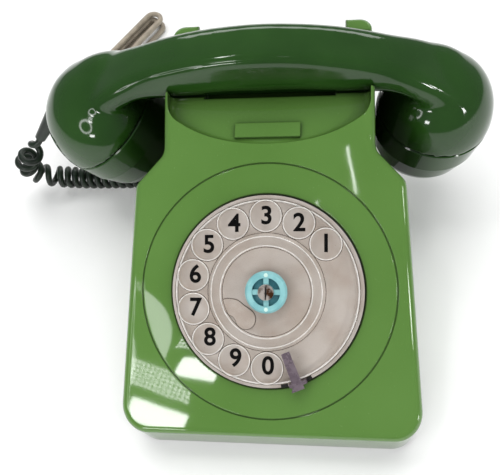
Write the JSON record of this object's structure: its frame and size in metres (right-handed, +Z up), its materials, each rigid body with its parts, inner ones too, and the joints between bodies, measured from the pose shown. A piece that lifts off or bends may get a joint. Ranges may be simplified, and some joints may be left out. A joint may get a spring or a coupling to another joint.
{
  "type": "corded landline phone",
  "caption": "Rotary-dial desk telephone with a cradled handset, clear finger wheel, curly handset cord and a tied hank of line cord.",
  "frame": {"origin": "On the table under the middle of the phone's bounding box, cords left out.", "axes": "+X to the right of someone dialling, +Y to the back of the phone, +Z up."},
  "size_m": [0.2742, 0.298, 0.12],
  "materials": {
    "case_plastic": "moulded gloss ABS, light green",
    "handset_plastic": "moulded gloss ABS, dark green",
    "clear_plastic": "clear moulded acrylic",
    "ivory_plastic": "ivory moulded plate with printed digits",
    "hub_plastic": "pale turquoise moulded hub",
    "plated_steel": "bright plated steel",
    "pressed_steel": "pressed zinc-plated sheet steel",
    "brass": "turned or pressed brass",
    "dark_plastic": "dark moulded plastic",
    "cream_plastic": "cream moulded plastic",
    "board": "resin-bonded paper board",
    "winding": "enamelled copper winding under tape",
    "rubber": "black rubber",
    "curly_cord": "dark green PVC over curled flex",
    "line_flex": "beige PVC flex",
    "gong_metal": "pressed bell metal"
  },
  "bodies": {
    "desk_set": {"base_plate": "pressed_steel", "board_posts": "cream_plastic", "capacitor": "cream_plastic", "case_screws": "pressed_steel", "case_shell": "case_plastic", "circuit_board": "board", "dial_bracket": "pressed_steel", "dial_case": "pressed_steel", "finger_stop": "plated_steel", "foot_front_left": "rubber", "foot_front_right": "rubber", "foot_rear_left": "rubber", "foot_rear_right": "rubber", "gong_left": "gong_metal", "gong_posts": "pressed_steel", "gong_right": "gong_metal", "governor_bearings": "pressed_steel", "handset_cord": "curly_cord", "handset_cord_gland": "curly_cord", "hank_tie": "rubber", "induction_coil": "winding", "label_plate": "case_plastic", "line_cord": "line_flex", "line_cord_gland": "line_flex", "line_cord_hank": "line_flex", "line_plug": "cream_plastic", "number_plate": "ivory_plastic", "pulse_contacts": "dark_plastic", "ringer_coils": "winding", "ringer_frame": "pressed_steel", "spring_barrel": "pressed_steel", "switch_bracket": "pressed_steel", "switch_contacts": "dark_plastic", "terminal_block": "dark_plastic"},
    "handset": {"handset_shell": "handset_plastic", "ear_cap": "handset_plastic", "mouth_cap": "handset_plastic", "receiver_capsule": "pressed_steel", "transmitter_capsule": "pressed_steel", "handset_relief": "curly_cord"},
    "dial_rotor": {"finger_wheel": "clear_plastic", "dial_hub": "hub_plastic", "hub_screw": "plated_steel", "dial_shaft": "pressed_steel", "main_gear": "brass", "pulse_cam": "dark_plastic"},
    "governor_rotor": {"governor": "brass"},
    "left_plunger": {"plunger_left": "cream_plastic"},
    "right_plunger": {"plunger_right": "cream_plastic"},
    "hook_lever": {"switch_lever": "pressed_steel"},
    "bell_clapper": {"clapper": "brass"}
  },
  "joints": [
    {"name": "handset_lift", "type": "slide", "parent": "desk_set", "child": "handset", "axis": [0, 0, 1], "range_m": [0, 0.06], "deforming": ["handset_cord"]},
    {"name": "dial_turn", "type": "hinge", "parent": "desk_set", "child": "dial_rotor", "pos_m": [0.00703, -0.03701, 0.06187], "axis": [0, 0.454, -0.891], "range_deg": [0, 334], "stiffness_Nm_per_rad": 0.012, "springref_deg": -34.38},
    {"name": "governor_spin", "type": "hinge", "parent": "desk_set", "child": "governor_rotor", "pos_m": [0.00703, -0.05966, 0.04023], "axis": [1, 0, 0], "range_deg": [0, 2005]},
    {"name": "left_plunger_rise", "type": "slide", "parent": "desk_set", "child": "left_plunger", "axis": [0, 0, 1], "range_m": [0, 0.005]},
    {"name": "right_plunger_rise", "type": "slide", "parent": "desk_set", "child": "right_plunger", "axis": [0, 0, 1], "range_m": [0, 0.005]},
    {"name": "hook_lever_turn", "type": "hinge", "parent": "desk_set", "child": "hook_lever", "pos_m": [0.00703, 0.0504, 0.07], "axis": [1, 0, 0], "range_deg": [0, 16]},
    {"name": "clapper_swing", "type": "hinge", "parent": "desk_set", "child": "bell_clapper", "pos_m": [0.00703, 0.0287, 0.018], "axis": [0, 0, 1], "range_deg": [-2.2, 2.2], "stiffness_Nm_per_rad": 0.02}
  ],
  "couplings": [
    {"joint": "governor_spin", "follows": "dial_turn", "ratio": 6},
    {"joint": "left_plunger_rise", "follows": "handset_lift", "ratio": 0.08},
    {"joint": "right_plunger_rise", "follows": "handset_lift", "ratio": 0.08},
    {"joint": "hook_lever_turn", "follows": "handset_lift", "rad_per_m": 4.6}
  ]
}
